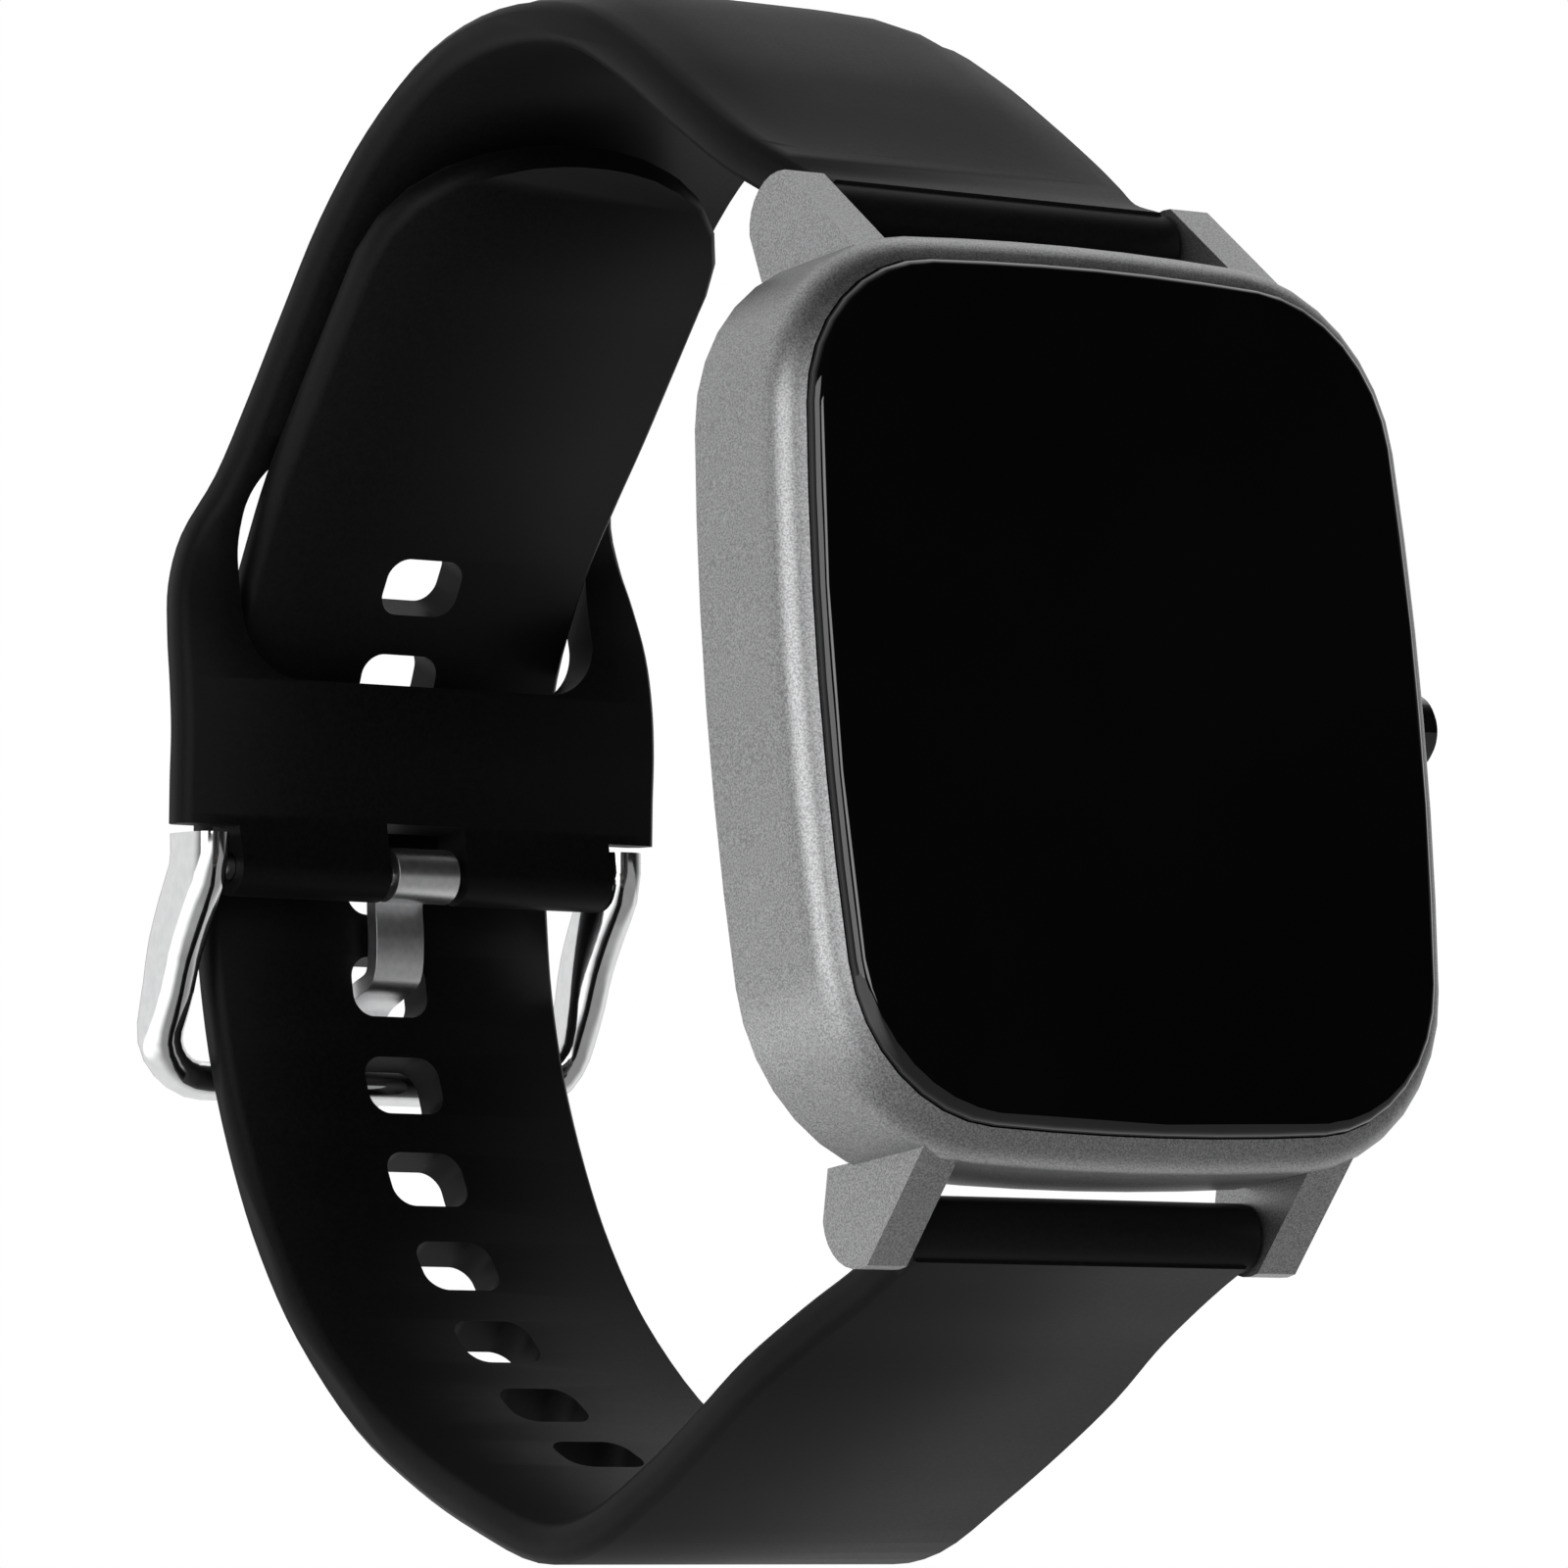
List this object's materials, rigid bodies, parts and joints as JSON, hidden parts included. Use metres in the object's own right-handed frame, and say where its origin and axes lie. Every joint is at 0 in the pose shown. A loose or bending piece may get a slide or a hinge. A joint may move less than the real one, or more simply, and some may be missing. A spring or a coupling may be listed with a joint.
{
  "type": "smartwatch",
  "caption": "Square wrist smartwatch with a glass front, side push button, sprung strap bars and a silicone strap fastened in a loop by a pin buckle.",
  "frame": {"origin": "centre of the rear sensor window, where the case rests on the wrist", "axes": "+X towards the push button's side of the case, +Y from the case into the wrist (the display faces -Y), +Z towards twelve o'clock"},
  "size_m": [0.0386, 0.0645, 0.0741],
  "materials": {
    "case_metal": "fine bead-blasted grey",
    "front_glass": "polished, black behind",
    "adhesive": "matt",
    "display": "glossy dark",
    "flex_film": "satin amber film",
    "rear_plastic": "fine matt",
    "seal_rubber": "matt",
    "screw_steel": "satin",
    "window_plastic": "polished dark window",
    "contact_gold": "polished gold plate",
    "board_green": "solder mask",
    "chip_clear": "satin",
    "inner_plastic": "matt moulded",
    "battery_can": "satin foil",
    "chip_black": "matt",
    "shield_steel": "satin",
    "motor_steel": "satin",
    "button_gloss": "polished black",
    "spring_steel": "bright wire",
    "bar_steel": "turned steel",
    "strap_silicone": "matt black",
    "buckle_chrome": "polished",
    "pin_steel": "satin"
  },
  "bodies": {
    "watch": {"case_frame": "case_metal", "cover_glass": "front_glass", "glass_adhesive": "adhesive", "display_panel": "display", "display_flex": "flex_film", "rear_cover": "rear_plastic", "rear_gasket": "seal_rubber", "rear_cover_screws": "screw_steel", "sensor_window": "window_plastic", "charging_contacts": "contact_gold", "sensor_board": "board_green", "sensor_chips": "chip_clear", "inner_frame": "inner_plastic", "battery": "battery_can", "main_board": "board_green", "board_chips": "chip_black", "board_shield": "shield_steel", "vibration_motor": "motor_steel", "antenna_strip": "flex_film", "button_switch": "chip_black", "switch_board": "board_green", "button_seal": "seal_rubber", "short_strap": "strap_silicone", "long_strap": "strap_silicone"},
    "button": {"side_button": "button_gloss", "button_clip": "spring_steel", "switch_plunger": "chip_clear"},
    "upper_bar": {"upper_bar_tube": "bar_steel", "upper_bar_spring": "spring_steel"},
    "upper_tip_left": {"upper_bar_tip_left": "bar_steel"},
    "upper_tip_right": {"upper_bar_tip_right": "bar_steel"},
    "lower_bar": {"lower_bar_tube": "bar_steel", "lower_bar_spring": "spring_steel"},
    "lower_tip_left": {"lower_bar_tip_left": "bar_steel"},
    "lower_tip_right": {"lower_bar_tip_right": "bar_steel"},
    "buckle": {"buckle_frame": "buckle_chrome", "buckle_pin": "pin_steel"},
    "tongue": {"buckle_tongue": "buckle_chrome"}
  },
  "joints": [
    {"name": "side_button_press", "type": "slide", "parent": "watch", "child": "button", "axis": [-1, 0, 0], "range_m": [0, 0.0004], "stiffness_N_per_m": 2500, "springref_m": -0.0001},
    {"name": "upper_bar_spin", "type": "hinge", "parent": "watch", "child": "upper_bar", "pos_m": [0, -0.0024, 0.02315], "axis": [1, 0, 0], "continuous": true},
    {"name": "upper_tip_left_press", "type": "slide", "parent": "upper_bar", "child": "upper_tip_left", "axis": [1, 0, 0], "range_m": [0, 0.0012], "stiffness_N_per_m": 1500, "springref_m": -0.002, "deforming": ["upper_bar_spring"]},
    {"name": "upper_tip_right_press", "type": "slide", "parent": "upper_bar", "child": "upper_tip_right", "axis": [-1, 0, 0], "range_m": [0, 0.0012], "stiffness_N_per_m": 1500, "springref_m": -0.002, "deforming": ["upper_bar_spring"]},
    {"name": "lower_bar_spin", "type": "hinge", "parent": "watch", "child": "lower_bar", "pos_m": [0, -0.0024, -0.02315], "axis": [1, 0, 0], "continuous": true},
    {"name": "lower_tip_left_press", "type": "slide", "parent": "lower_bar", "child": "lower_tip_left", "axis": [1, 0, 0], "range_m": [0, 0.0012], "stiffness_N_per_m": 1500, "springref_m": -0.002, "deforming": ["lower_bar_spring"]},
    {"name": "lower_tip_right_press", "type": "slide", "parent": "lower_bar", "child": "lower_tip_right", "axis": [-1, 0, 0], "range_m": [0, 0.0012], "stiffness_N_per_m": 1500, "springref_m": -0.002, "deforming": ["lower_bar_spring"]},
    {"name": "buckle_frame_swing", "type": "hinge", "parent": "watch", "child": "buckle", "pos_m": [0, 0.0471, 0.0021], "axis": [1, 0, 0], "range_deg": [0, 2.5]},
    {"name": "buckle_tongue_swing", "type": "hinge", "parent": "buckle", "child": "tongue", "pos_m": [0, 0.0471, 0.0021], "axis": [1, 0, 0], "range_deg": [0, 2]}
  ]
}
